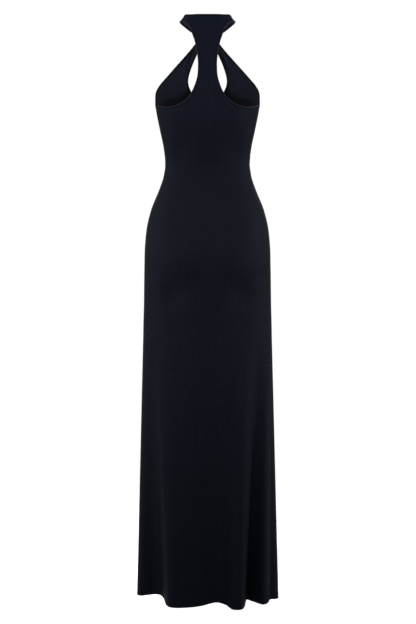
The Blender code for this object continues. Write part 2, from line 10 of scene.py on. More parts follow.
import bpy
import numpy as np
from bpy.props import FloatProperty, PointerProperty, StringProperty
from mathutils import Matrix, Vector


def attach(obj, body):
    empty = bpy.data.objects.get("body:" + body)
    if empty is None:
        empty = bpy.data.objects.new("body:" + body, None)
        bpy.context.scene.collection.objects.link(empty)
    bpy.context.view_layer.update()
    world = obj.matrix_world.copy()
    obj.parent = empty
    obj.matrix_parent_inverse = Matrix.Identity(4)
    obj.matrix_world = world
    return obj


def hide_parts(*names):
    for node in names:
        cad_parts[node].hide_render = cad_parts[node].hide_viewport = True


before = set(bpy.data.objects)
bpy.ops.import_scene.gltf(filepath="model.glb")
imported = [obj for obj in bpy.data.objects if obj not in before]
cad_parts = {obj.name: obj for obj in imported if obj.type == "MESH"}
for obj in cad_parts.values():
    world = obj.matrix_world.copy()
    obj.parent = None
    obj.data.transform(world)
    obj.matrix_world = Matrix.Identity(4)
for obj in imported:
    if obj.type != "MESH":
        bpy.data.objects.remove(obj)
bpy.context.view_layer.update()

bl_info = {
    "name": "Halter Maxi Dress",
    "version": (1, 0, 0),
    "blender": (4, 5, 0),
    "location": "View3D > Sidebar > Dress",
    "description": "Builds a racer-back halter maxi dress in stretch jersey, with its studio",
    "category": "Object",
}


def named_rows(columns, *rows):
    """A short table: rows of numbers in named columns."""
    return np.array(list(rows), dtype=[(column, float) for column in columns])


NECK_CENTRE = 1.500

# Seams and bindings, as the solids have them.
BINDING_WIDTH = 0.0033
HEM_TURN_UP = 0.020
HEM_STEP = 0.002
CROSSING_LIFT = 0.0020
CROSSING_SPREAD = 0.032
CROSSING_BEGINS = (1.420, 1.455)

FOLDS_BEGIN = 0.68
LIFT_FADES = 0.30
LEVEL_TOP = 1.220
STRIP_TOP = 1.4600
FOLD_POWER = 1.15
COLUMNS_SETTLE = (0.70, 1.15)

# Mesh divisions. FINER times those of the solids, so that both follow the same lines.
FINER = 4
BACK_STRIP_COLUMNS = 3 * FINER
BACK_SIDE_COLUMNS = 13 * FINER
COLLAR_WING_COLUMNS = 6 * FINER
KEYHOLE_COLUMNS = 3 * FINER
ARM_COLUMNS = 8 * FINER
FRONT_SIDE_COLUMNS = 5 * FINER
LEVEL_ROWS = 170
RISING_ROWS = 14
STRIP_ROWS = 44
COLLAR_ROWS = 10
ARM_ROWS = 90

# The figure's sections, from the hem up. square is the power of the rounded oval, 2 for an ellipse.
SECTIONS = named_rows(
    ("height", "half_width", "front", "back", "square"),
    (0.000, 0.1700, 0.118, 0.124, 2.1),
    (0.350, 0.1698, 0.116, 0.122, 2.1),
    (0.680, 0.1685, 0.113, 0.119, 2.1),
    (0.770, 0.1665, 0.110, 0.120, 2.15),
    (0.830, 0.1658, 0.107, 0.1245, 2.2),
    (0.900, 0.1645, 0.103, 0.131, 2.25),
    (0.955, 0.1600, 0.100, 0.127, 2.25),
    (1.010, 0.1475, 0.097, 0.110, 2.2),
    (1.060, 0.1275, 0.092, 0.089, 2.2),
    (1.100, 0.1145, 0.088, 0.076, 2.2),
    (1.130, 0.1110, 0.087, 0.072, 2.2),
    (1.165, 0.1140, 0.090, 0.073, 2.25),
    (1.220, 0.1250, 0.103, 0.080, 2.3),
    (1.270, 0.1348, 0.116, 0.0865, 2.4),
    (1.300, 0.1384, 0.1195, 0.089, 2.5),
    (1.320, 0.1397, 0.1180, 0.090, 2.6),
    (1.345, 0.1385, 0.1120, 0.0905, 2.6),
    (1.380, 0.1330, 0.100, 0.0885, 2.4),
    (1.430, 0.1200, 0.078, 0.0785, 2.2),
    (1.460, 0.1060, 0.067, 0.0700, 2.1),
    (1.475, 0.0945, 0.063, 0.0660, 2.05),
    (1.489, 0.0835, 0.059, 0.0625, 2.0),
    (1.5012, 0.0734, 0.056, 0.0600, 2.0),
    (1.5185, 0.0603, 0.053, 0.0560, 2.0),
    (1.5230, 0.0575, 0.052, 0.0545, 2.0),
)

# Soft fullness of the general figure: height, distance from the middle, spread each way, and depth, less
# than nothing for a hollow. The back's first three rows are the solid's. The others are shallow fullness of
# the cloth over the figure, and are left to the scene.
SWELL_COLUMNS = ("height", "across", "spread_up", "spread_across", "depth")
FRONT_SWELLS = named_rows(SWELL_COLUMNS, (1.280, 0.066, 0.066, 0.048, 0.0095))
BACK_SWELLS = named_rows(
    SWELL_COLUMNS,
    (1.150, 0.070, 0.050, 0.024, -0.0040),
    (0.885, 0.072, 0.058, 0.050, 0.0060),
    (0.788, 0.089, 0.034, 0.030, -0.0100),
    (1.232, 0.084, 0.036, 0.032, 0.0035),
    (1.152, 0.082, 0.034, 0.030, -0.0035),
    (1.225, 0.000, 0.080, 0.090, 0.0090),
    (0.962, 0.000, 0.062, 0.110, -0.0080),
    (0.854, 0.060, 0.034, 0.060, 0.0045),
    (0.795, 0.000, 0.055, 0.048, 0.0050),
)

# Ridges and valleys of the skirt in order round it: the angle that each starts from on the plain skirt,
# and its place and lift at the hem.
FOLD_COLUMNS = [("fold", "U14")] + [(name, float) for name in ("start_angle", "across", "behind", "lift")]
BACK_FOLDS = np.array(
    [
        ("left seam", 90, 0.1858, -0.012, 0.0005),
        ("left wing", 74, 0.1680, 0.016, 0.0030),
        ("left valley", 63, 0.1400, 0.013, 0.0058),
        ("left valley", 57, 0.1250, 0.022, 0.0068),
        ("left turn", 53, 0.1130, 0.050, 0.0035),
        ("left turn", 50, 0.1072, 0.090, 0.000),
        ("left ridge", 46, 0.0975, 0.121, -0.0012),
        ("left ridge", 37, 0.0756, 0.134, -0.0008),
        ("middle", 22, 0.0430, 0.131, 0.000),
        ("middle", 9, 0.0180, 0.124, 0.0015),
        ("middle valley", -8, -0.0220, 0.106, 0.0065),
        ("middle valley", -19, -0.0450, 0.120, 0.0042),
        ("right ridge", -28, -0.0630, 0.145, -0.0022),
        ("right ridge", -35, -0.0780, 0.152, -0.0015),
        ("right turn", -40, -0.0890, 0.140, -0.0015),
        ("right turn", -44, -0.0955, 0.105, -0.001),
        ("right turn", -47, -0.0985, 0.065, -0.001),
        ("deep valley", -50, -0.1020, 0.042, -0.001),
        ("side rise", -55, -0.1160, 0.061, -0.0012),
        ("side ridge", -63, -0.1410, 0.092, -0.0022),
        ("side turn", -69, -0.1545, 0.077, -0.0015),
        ("side valley", -74, -0.1620, 0.050, 0.0015),
        ("right wing", -81, -0.1760, 0.040, 0.000),
    ],
    dtype=FOLD_COLUMNS,
)
FRONT_FOLDS = np.array(
    [
        ("right seam", -90, -0.1853, 0.018, -0.001),
        ("right ridge", -103, -0.1800, -0.048, 0.001),
        ("right valley", -116, -0.1540, -0.078, 0.004),
        ("front ridge", -131, -0.1220, -0.124, 0.001),
        ("front valley", -145, -0.0860, -0.108, 0.004),
        ("front ridge", -160, -0.0500, -0.146, 0.001),
        ("front valley", -176, -0.0080, -0.120, 0.004),
        ("front ridge", -193, 0.0340, -0.143, 0.001),
        ("front valley", -209, 0.0720, -0.110, 0.004),
        ("front ridge", -224, 0.1090, -0.124, 0.001),
        ("left valley", -240, 0.1430, -0.082, 0.005),
        ("left ridge", -256, 0.1760, -0.064, 0.001),
    ],
    dtype=FOLD_COLUMNS,
)

# Finished edges, binding included, as distance from the middle and height.
RACER_EDGE = named_rows(
    ("across", "height"),
    (0.1370, 1.2822),
    (0.1310, 1.2783),
    (0.1159, 1.2719),
    (0.1027, 1.2691),
    (0.0863, 1.2702),
    (0.0703, 1.2754),
    (0.0574, 1.2837),
    (0.0446, 1.2959),
    (0.0388, 1.3071),
    (0.0340, 1.3176),
    (0.0302, 1.3285),
    (0.0265, 1.3423),
    (0.0248, 1.3560),
    (0.0243, 1.3732),
    (0.0247, 1.3836),
    (0.0256, 1.3942),
    (0.0284, 1.4140),
    (0.0320, 1.4320),
    (0.0350, 1.4431),
    (0.0389, 1.4544),
    (0.0420, 1.4650),
)
STRIP_BASE_ROW = 7

COLLAR = named_rows(
    ("angle", "lower", "top"),
    (20.0, 1.4560, 1.5105),
    (24.0, 1.4668, 1.5112),
    (30.0, 1.4772, 1.5113),
    (45.0, 1.4908, 1.5130),
    (65.0, 1.4985, 1.5170),
    (90.0, 1.5012, 1.5185),
)
COLLAR_MIDDLE_TOP = 1.5098

ARMHOLE_FRONT = named_rows(
    ("angle", "height"),
    (66.0, 1.3373),
    (72.0, 1.3245),
    (78.0, 1.3060),
    (84.0, 1.2900),
    (87.0, 1.2848),
    (90.0, 1.2822),
)
KEYHOLE_FOOT = named_rows(
    ("angle", "height"),
    (0.0, 1.3160),
    (6.0, 1.3178),
    (12.0, 1.3250),
    (16.6, 1.3334),
)

# Both edges of an arm of the halter, from the bust over the throat to the other side of the neck.
ARM_EDGES = named_rows(
    ("inner_across", "inner_height", "outer_across", "outer_height"),
    (0.0407, 1.3334, 0.1330, 1.3373),
    (0.0460, 1.3440, 0.1263, 1.3501),
    (0.0503, 1.3535, 0.1175, 1.3621),
    (0.0522, 1.3640, 0.1083, 1.3734),
    (0.0513, 1.3755, 0.0990, 1.3845),
    (0.0474, 1.3884, 0.0870, 1.3985),
    (0.0410, 1.4050, 0.0735, 1.4135),
    (0.0342, 1.4196, 0.0600, 1.4286),
    (0.0275, 1.4338, 0.0480, 1.4418),
    (0.0205, 1.4478, 0.0370, 1.4545),
    (0.0130, 1.4610, 0.0255, 1.4675),
    (0.0030, 1.4715, 0.0110, 1.4820),
    (-0.0090, 1.4775, -0.0040, 1.4915),
    (-0.0240, 1.4808, -0.0180, 1.4990),
    (-0.0390, 1.4845, -0.0320, 1.5055),
    (-0.0520, 1.4913, -0.0430, 1.5105),
    (-0.0638, 1.4980, -0.0525, 1.5150),
    (-0.0705, 1.5005, -0.0585, 1.5178),
    (-0.0734, 1.5012, -0.0603, 1.5185),
)

# Gathers of an arm: how many waves across it, how deep, and where across they begin. They all run to the
# throat, and lean from side to side on the way.
GATHERS = named_rows(
    ("waves", "depth", "shift"),
    (1.5, 0.0022, 0.00),
    (3.3, 0.0010, 0.20),
    (5.7, 0.0003, 0.55),
)
GATHERS_BEGIN = 0.30
GATHERS_END = (8.0, 10.0)
GATHER_FULL_WIDTH = 0.035
GATHER_LEAN = 0.06
GATHER_LEAN_ROWS = 3.0
THROAT_ROW = 11

# Soft creases: from and to as angle round the body and height, then width, depth (a trough is negative)
# and bow.
CREASE_COLUMNS = ("from_angle", "from_height", "to_angle", "to_height", "width", "depth", "bow")
BACK_CREASES = named_rows(
    CREASE_COLUMNS,
    (-80, 1.085, -70, 0.985, 0.0050, -0.0011, 0.003),
    (-72, 1.070, -64, 0.975, 0.0060, -0.0007, 0.002),
    (79, 1.080, 71, 0.990, 0.0060, -0.0008, -0.002),
    (86, 1.150, 52, 1.128, 0.0055, -0.0007, 0.003),
    (-87, 1.158, -55, 1.140, 0.0050, -0.0008, 0.002),
    (-86, 1.128, -60, 1.108, 0.0050, -0.0006, 0.002),
    (87, 1.118, 63, 1.096, 0.0050, -0.0006, -0.002),
    (58, 0.845, 18, 0.806, 0.0130, -0.0016, -0.005),
    (-60, 0.842, -22, 0.802, 0.0130, -0.0018, 0.006),
    (70, 1.262, 40, 1.205, 0.0080, -0.0007, 0.004),
    (-72, 1.262, -44, 1.200, 0.0080, -0.0008, -0.004),
)
FRONT_CREASES = named_rows(
    CREASE_COLUMNS,
    (-94, 1.262, -124, 1.248, 0.0080, -0.0012, 0.003),
    (-266, 1.258, -238, 1.246, 0.0080, -0.0011, -0.003),
    (-94, 1.232, -116, 1.205, 0.0065, -0.0008, 0.002),
    (-266, 1.226, -247, 1.198, 0.0065, -0.0008, 0.002),
    (-93, 1.150, -128, 1.130, 0.0060, -0.0010, 0.003),
    (-94, 1.122, -118, 1.104, 0.0055, -0.0007, 0.002),
    (-267, 1.146, -234, 1.124, 0.0060, -0.0010, -0.003),
    (-266, 1.116, -246, 1.100, 0.0050, -0.0006, 0.002),
    (-100, 1.080, -112, 0.985, 0.0060, -0.0008, 0.003),
    (-259, 1.080, -250, 0.990, 0.0060, -0.0009, -0.003),
    (-150, 0.905, -196, 0.892, 0.0120, -0.0012, 0.004),
    (-162, 1.310, -150, 1.262, 0.0090, -0.0009, 0.003),
    (-198, 1.310, -211, 1.262, 0.0090, -0.0009, -0.003),
)
# Pleats that the arms' cloth is pulled into at the throat. Painted shade darkens the cloth's colour along them.
THROAT_PLEATS = named_rows(
    CREASE_COLUMNS,
    (161, 1.442, 153.5, 1.368, 0.0032, 0.0030, -0.004),
    (155, 1.428, 143.0, 1.380, 0.0036, 0.0014, -0.003),
    (197, 1.440, 209.0, 1.368, 0.0032, 0.0028, -0.002),
    (204, 1.430, 218.0, 1.382, 0.0036, 0.0012, -0.002),
)
CREASE_PAST_END = 0.2
CREASE_FADES = (0.25, 1.0)
CREASE_FADE_POWER = 0.7
BODY_RADIUS = 0.13
SEAM_GROOVE = 0.0006
SEAM_GROOVE_WIDTH = 0.0016
HEM_PUCKER = 0.00025
HEM_PUCKER_LENGTH = 0.011
HEM_PUCKER_WIDTH = 0.004
SHARP_ANGLE = 55.0

# Folded bindings: steps along the edge, sides of the strip's section and how square it is.
EDGE_STEP = 0.0022
BINDING_SIDES = 14
BINDING_SQUARE = 2.8
BINDING_OVERLAP = 0.0003

# Hem stitches: how far below the turn-up's edge each row runs, and a stitch's section along its length.
STITCH_ROWS = (0.0055, 0.0020)
STITCH_SIDES = 5
STITCH_STATIONS = (-0.5, -0.38, 0.38, 0.5)
STITCH_WAISTS = (0.45, 1.0, 1.0, 0.45)

# Painted shade, which darkens the cloth's colour where pleats, a binding's stitched lip and its side that faces
# the body lie in shadow:
# how dark it makes the colour, and how much of it a pleat and each side of a binding get.
PAINTED_SHADE_SHARE = 0.03
PLEAT_PAINTED_SHADE = 200.0
STITCHED_LIP = (0.05, 0.50)
INNER_FACE = (0.2, 0.8)
INNER_FACE_PAINTED_SHADE = 0.6

# The knit as drawn, and the length of one band of the wave texture at scale 1.
KNIT_PITCH = 0.0028
WAVE_TEXTURE_PERIOD = math.pi / 10

# Studio: the camera's place is worked out from the photograph's frame.
CAMERA_DISTANCE = 3.2
CAMERA_HEIGHT = 0.7427
CAMERA_ASIDE = -0.0013
CAMERA_LENS = 70.46
SENSOR_WIDTH = 36.0
FLOOR_DROP = 0.12
FLOOR_SIZE = 60.0

# Soft lights: name, place from the hem's middle, height they face, size, watts, cone in degrees and tint.
COOL = (0.94, 1.0, 1.12)
COOLER = (0.80, 1.0, 1.28)
LIGHTS = (
    ("key_behind", (0.3, 2.5, 2.80), 0.73, (1.6, 0.5), 8.5, 23.5, COOL),
    ("low_behind", (0.0, 3.6, 0.35), 1.52, (1.0, 0.4), 3.0, 9.5, COOLER),
    ("key_before", (-0.3, -2.5, 2.80), 0.73, (1.6, 0.5), 8.5, 23.5, COOL),
    ("low_before", (0.0, -3.6, 0.35), 1.52, (1.0, 0.4), 3.0, 9.5, COOLER),
    ("side_left", (2.4, 0.0, 1.60), 0.96, (0.6, 1.4), 7.5, 40.0, COOL),
    ("side_right", (-2.4, 0.0, 1.60), 0.96, (0.6, 1.4), 9.0, 40.0, COOL),
)
WORLD_STRENGTH = 1.025


def linear(hex_colour):
    """An sRGB hex colour as the linear values that a shader takes."""
    channels = np.array([int(hex_colour[i : i + 2], 16) for i in (1, 3, 5)]) / 255
    low, high = channels / 12.92, ((channels + 0.055) / 1.055) ** 2.4
    return tuple(float(v) for v in np.where(channels <= 0.04045, low, high))


def shade(hex_colour, share=1.0):
    """A colour darkened to a share of itself, as a shader's socket takes it."""
    return (*(share * value for value in linear(hex_colour)), 1.0)


def curve_through(at, places, values):
    """The smooth curve through the table's rows, with no overshoot between them: a cubic from row to row."""
    at, places, values = (np.asarray(v, float) for v in (at, places, values))
    step = np.diff(places)
    slope = np.diff(values) / step
    before = step[1:] + 2 * step[:-1]
    after = 2 * step[1:] + step[:-1]
    same_way = slope[:-1] * slope[1:] > 0
    safe = np.where(same_way, slope[:-1], 1.0), np.where(same_way, slope[1:], 1.0)
    mean = (before + after) / (after / safe[0] + before / safe[1])
    tangent = np.concatenate([slope[:1], np.where(same_way, mean, 0.0), slope[-1:]])
    i = np.clip(np.searchsorted(places, at) - 1, 0, len(step) - 1)
    t = np.clip((at - places[i]) / step[i], 0.0, 1.0)
    return (
        values[i] * (1 + 2 * t) * (1 - t) ** 2
        + values[i + 1] * (3 - 2 * t) * t**2
        + tangent[i] * step[i] * t * (1 - t) ** 2
        - tangent[i + 1] * step[i] * t**2 * (1 - t)
    )


def smooth_step(low, high, value):
    """0 below low, 1 above high, and an S-curve between."""
    t = np.clip((value - low) / (high - low), 0.0, 1.0)
    return t * t * (3 - 2 * t)


def section(height, column):
    return curve_through(height, SECTIONS["height"], SECTIONS[column])


def fullness(table, across, height):
    """The sum of soft round swells, each a bell curve up and across, the same on both sides of the middle."""
    total = 0.0
    for row in table:
        up = (height - row["height"]) / row["spread_up"]
        beside = (np.abs(across) - row["across"]) / row["spread_across"]
        total = total + row["depth"] * np.exp(-(up**2) - beside**2)
    return total


def on_form(angle, height):
    """The worn form: at each height a rounded oval, half_width across, with its own depth before and behind.

    The sum of |x / half_width| and |y / depth|, each to the power square, is 1. Soft fullness is added to y.
    """
    angle, height = np.broadcast_arrays(np.radians(angle), np.asarray(height, float))
    square = section(height, "square")
    sine, cosine = np.sin(angle), np.cos(angle)
    reach = (np.abs(sine) ** square + np.abs(cosine) ** square) ** (-1 / square)
    x = section(height, "half_width") * sine * reach
    behind = cosine > 0
    swell = np.where(behind, fullness(BACK_SWELLS, x, height), fullness(FRONT_SWELLS, x, height))
    depth = np.where(behind, section(height, "back"), section(height, "front"))
    y = depth * cosine * reach + swell * cosine * np.abs(cosine) ** 0.5
    return np.stack([x, y, height], axis=-1)


def angle_of(across, height):
    """The angle from the middle at which the form is that far across, 90 degrees at its side."""
    share = np.clip(np.abs(across) / section(height, "half_width"), 0.0, 1.0)
    square = section(height, "square")
    filled = np.minimum(share**square, 1 - 1e-12)
    return np.sign(across) * np.degrees(np.arctan((filled / (1 - filled)) ** (1 / square)))


def inset(angle, height, side):
    """A finished edge moved into the cloth, along the form, by the binding's width. side 1 is to its left."""
    turn, rise = 0.05, 0.0002
    by_angle = (on_form(angle + turn, height) - on_form(angle - turn, height)) / turn / 2
    by_height = (on_form(angle, height + rise) - on_form(angle, height - rise)) / rise / 2
    along = unit(np.gradient(on_form(angle, height), axis=0))
    into = np.cross(unit(np.cross(by_height, by_angle)), along) * side * BINDING_WIDTH
    aa, ah, hh = (dot(u, v) for u, v in ((by_angle, by_angle), (by_angle, by_height), (by_height, by_height)))
    a, h = dot(by_angle, into), dot(by_height, into)
    whole = aa * hh - ah * ah
    return angle + (a * hh - h * ah) / whole, height + (h * aa - a * ah) / whole


def dot(first, second):
    return np.sum(first * second, axis=-1)


def unit(vectors):
    return vectors / np.maximum(np.linalg.norm(vectors, axis=-1, keepdims=True), 1e-12)


def fold_at(place, column):
    """The fold table's value at a place round the skirt, counted in rows, with the table closed on itself."""
    table = np.concatenate([BACK_FOLDS, FRONT_FOLDS])
    size, wrap = len(table), 3
    rows = np.arange(-wrap, size + wrap)
    turns = -360.0 * (rows // size) if column == "start_angle" else 0.0
    return curve_through(place, rows, table[column][rows % size] + turns)


def skirt_and_body(place, torso_angle, height):
    """The hem's folded line blended up into the plain skirt, and the skirt's columns into the body's."""
    settled = smooth_step(*COLUMNS_SETTLE, height)
    angle = fold_at(place, "start_angle") * (1 - settled) + torso_angle * settled
    plain = on_form(angle, height)
    deep = np.clip((FOLDS_BEGIN - height) / FOLDS_BEGIN, 0.0, 1.0) ** FOLD_POWER
    lift = fold_at(place, "lift") * np.clip(1 - height / LIFT_FADES, 0.0, 1.0)
    x = plain[..., 0] * (1 - deep) + fold_at(place, "across") * deep
    y = plain[..., 1] * (1 - deep) + fold_at(place, "behind") * deep
    return np.stack([x, y, height + lift], axis=-1), angle


def rows_to(top):
    """Row heights for each column: level rows, with the hem's own, then rows that rise to the top edge."""
    level = np.linspace(0.0, LEVEL_TOP, LEVEL_ROWS)
    level = np.union1d(level, [HEM_TURN_UP, HEM_TURN_UP + HEM_STEP])
    share = (np.arange(RISING_ROWS) + 1)[:, None] / RISING_ROWS
    level = np.repeat(level[:, None], len(top), axis=1)
    return np.concatenate([level, LEVEL_TOP + share * (top - LEVEL_TOP)[None, :]])


def both_sides(half):
    """Angles from the wearer's left to the right, from those of one side, given outwards from the middle."""
    return np.concatenate([half[::-1], -half[1:]])


class Cloth:
    """A panel before it has thickness: points with their place on the body, and square faces."""

    def __init__(self):
        self.points = np.zeros((0, 3))
        self.places = np.zeros((0, 2))
        self.faces = np.zeros((0, 4), int)
        self.painted_shade = None

    def add(self, points, angles, heights, shared=None):
        """Adds a grid of points and its faces. First-row points that shared names are there already."""
        rows, columns = points.shape[:2]
        new = np.ones((rows, columns), bool)
        if shared is not None:
            new[0] = shared < 0
        index = np.empty((rows, columns), int)
        index[new] = len(self.points) + np.arange(new.sum())
        if shared is not None:
            index[0][~new[0]] = shared[~new[0]]
        angles, heights = np.broadcast_to(angles, new.shape), np.broadcast_to(heights, new.shape)
        self.points = np.concatenate([self.points, points[new]])
        self.places = np.concatenate([self.places, np.stack([angles[new], heights[new]], axis=-1)])
        corners = (index[:-1, :-1], index[:-1, 1:], index[1:, 1:], index[1:, :-1])
        self.faces = np.concatenate([self.faces, np.stack(corners, axis=-1).reshape(-1, 4)])
        return index

    def normals(self):
        """Outward unit normals: each face's diagonals crossed, summed at its corners."""
        corners = self.points[self.faces]
        across = np.cross(corners[:, 2] - corners[:, 0], corners[:, 3] - corners[:, 1])
        total = np.zeros_like(self.points)
        for corner in range(4):
            np.add.at(total, self.faces[:, corner], across)
        return unit(total)


def crease_depth(table, places):
    """How far the soft creases move each point: a bell curve across each bowed line, fading along it."""
    spot = np.stack([np.radians(places[:, 0]) * BODY_RADIUS, places[:, 1]], axis=-1)
    total = np.zeros(len(spot))
    for row in table:
        start = np.array([math.radians(row["from_angle"]) * BODY_RADIUS, row["from_height"]])
        end = np.array([math.radians(row["to_angle"]) * BODY_RADIUS, row["to_height"]])
        length = np.linalg.norm(end - start)
        along = (end - start) / length
        beside = np.array([-along[1], along[0]])
        t = np.clip((spot - start) @ along / length, -CREASE_PAST_END, 1 + CREASE_PAST_END)
        held = np.clip(t, 0.0, 1.0)
        off = (spot - start) @ beside - row["bow"] * np.sin(np.pi * held)
        past = (t - held) * length
        bell = np.exp(-(off**2 + past**2) / row["width"] ** 2)
        total += row["depth"] * bell * (1 - smooth_step(*CREASE_FADES, held)) ** CREASE_FADE_POWER
    return total


def seam_dip(points, seams, width, depth):
    """The cloth rolls in at a sewn side seam: a bell curve of the distance from the seam's line."""
    total = np.zeros(len(points))
    for row_index, seam_column in seams:
        line = points[row_index[:, seam_column]]
        off = np.linalg.norm(points[row_index] - line[:, None], axis=-1)
        np.add.at(total, row_index.ravel(), (-depth * np.exp(-((off / width) ** 2))).ravel())
    return total


def shell(name, cloth, normals, thickness, finish, painted_lit_inner_finish):
    """The panel as a closed wall: the cloth, the same moved in by its thickness, and a strip round both."""
    count = len(cloth.points)
    inner = cloth.points - normals * thickness[:, None]
    edges = np.concatenate([cloth.faces[:, [i, (i + 1) % 4]] for i in range(4)])
    key = edges[:, 0] * count + edges[:, 1]
    back_key = edges[:, 1] * count + edges[:, 0]
    rim = edges[~np.isin(key, back_key)]
    rim_faces = np.stack([rim[:, 1], rim[:, 0], rim[:, 0] + count, rim[:, 1] + count], axis=-1)
    faces = np.concatenate([cloth.faces, cloth.faces[:, ::-1] + count, rim_faces])
    flat_map = np.stack([np.radians(cloth.places[:, 0]) * BODY_RADIUS, cloth.places[:, 1]], axis=-1)
    points = np.concatenate([cloth.points, inner])
    piece = mesh_piece(name, points, faces, finish, np.tile(flat_map, (2, 1)))
    # The inner faces take the lighter inside jersey: painted light, which makes up for the light that the
    # inside does not get.
    piece.data.materials.append(painted_lit_inner_finish)
    inside = np.zeros(len(faces), int)
    inside[len(cloth.faces) : 2 * len(cloth.faces)] = 1
    piece.data.polygons.foreach_set("material_index", inside)
    if cloth.painted_shade is not None:
        set_painted_shade(piece, np.tile(cloth.painted_shade, 2))
    return piece


def set_painted_shade(piece, values):
    """Stores the painted shade of each point, from 0 to 1, for points that lie in shadow in a pleat, on a
    binding's stitched lip and on its side that faces the body.
    """
    painted_shade = piece.data.attributes.new("painted_shade", "FLOAT", "POINT")
    painted_shade.data.foreach_set("value", values)


def placed(name, data):
    """A new object of that name in the scene, at the origin."""
    made = bpy.data.objects.new(name, data)
    bpy.context.scene.collection.objects.link(made)
    return made


def mesh_piece(name, points, faces, finish, flat_map=None):
    """A smooth mesh object at the origin, in the part's frame, that rides on the dress's one body."""
    mesh = bpy.data.meshes.new(name)
    points = np.asarray(points) - [0.0, 0.0, NECK_CENTRE]
    mesh.from_pydata(points.tolist(), [], [[int(corner) for corner in face] for face in faces])
    if flat_map is not None:
        layer = mesh.uv_layers.new(name="cloth_metres")
        corner = np.empty(len(mesh.loops), int)
        mesh.loops.foreach_get("vertex_index", corner)
        layer.data.foreach_set("uv", flat_map[corner].ravel())
    mesh.materials.append(finish)
    mesh.shade_smooth()
    mesh.set_sharp_from_angle(angle=math.radians(SHARP_ANGLE))
    piece = placed(name, mesh)
    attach(piece, "root")
    return piece


def back_cloth():
    """The back in one piece: skirt, racer back, strip and collar. Returns the cloth, its edges and rows."""
    cloth = Cloth()
    racer_angles = angle_of(RACER_EDGE["across"], RACER_EDGE["height"])
    racer_angles[0] = 90.0
    racer_angles, racer_heights = inset(racer_angles, RACER_EDGE["height"], -1)
    racer_angles[0] = 90.0
    strip_angle, strip_base = racer_angles[STRIP_BASE_ROW], racer_heights[STRIP_BASE_ROW]
    strip_half = np.linspace(0, strip_angle, BACK_STRIP_COLUMNS + 1)
    side_half = np.linspace(strip_angle, 90, BACK_SIDE_COLUMNS + 1)[1:]
    angles = both_sides(np.concatenate([strip_half, side_half]))
    lower_part = slice(STRIP_BASE_ROW, None, -1)
    top = curve_through(np.abs(angles), racer_angles[lower_part], racer_heights[lower_part])
    top = np.where(np.abs(angles) < strip_angle, strip_base, top)
    places = np.linspace(0, len(BACK_FOLDS), len(angles))
    heights = rows_to(top)
    points, where = skirt_and_body(places[None, :], angles[None, :], heights)
    main = cloth.add(points, where, heights)

    middle = slice(BACK_SIDE_COLUMNS, BACK_SIDE_COLUMNS + 2 * BACK_STRIP_COLUMNS + 1)
    heights = np.linspace(strip_base, STRIP_TOP, STRIP_ROWS + 1)
    edge = curve_through(heights, racer_heights[STRIP_BASE_ROW:], racer_angles[STRIP_BASE_ROW:])
    strip_angles = edge[:, None] * np.linspace(1, -1, 2 * BACK_STRIP_COLUMNS + 1)[None, :]
    heights = heights[:, None]
    strip = cloth.add(on_form(strip_angles, heights), strip_angles, heights, main[-1, middle])

    rim = edge[-1]
    lower_angle, lower_height = inset(COLLAR["angle"], COLLAR["lower"], -1)
    lower_angle[0], lower_height[0], lower_angle[-1] = rim, STRIP_TOP, 90.0
    top_angle, top_height = inset(COLLAR["angle"], COLLAR["top"], 1)
    top_angle = np.append(0.0, top_angle)
    top_height = np.append(COLLAR_MIDDLE_TOP - BINDING_WIDTH, top_height)
    top_angle[-1] = 90.0
    wing = np.linspace(rim, 90, COLLAR_WING_COLUMNS + 1)[1:]
    collar_angles = both_sides(np.concatenate([np.linspace(0, rim, BACK_STRIP_COLUMNS + 1), wing]))
    lower = curve_through(np.abs(collar_angles), lower_angle, lower_height)
    upper = curve_through(np.abs(collar_angles), top_angle, top_height)
    share = np.linspace(0, 1, COLLAR_ROWS + 1)[:, None]
    collar_heights = lower[None, :] * (1 - share) + upper[None, :] * share
    shared = np.full(len(collar_angles), -1)
    shared[COLLAR_WING_COLUMNS:-COLLAR_WING_COLUMNS] = strip[-1]
    collar = cloth.add(on_form(collar_angles[None, :], collar_heights), collar_angles, collar_heights, shared)

    first, last = BACK_SIDE_COLUMNS, BACK_SIDE_COLUMNS + 2 * BACK_STRIP_COLUMNS
    wings = COLLAR_WING_COLUMNS
    edges = {
        "left": np.concatenate([collar[0, :wings], strip[::-1, 0], main[-1, :first][::-1]]),
        "right": np.concatenate([collar[0, -wings:][::-1], strip[::-1, -1], main[-1, last + 1 :]]),
        "nape": collar[-1],
        "hem": main[0],
    }
    return cloth, edges, main


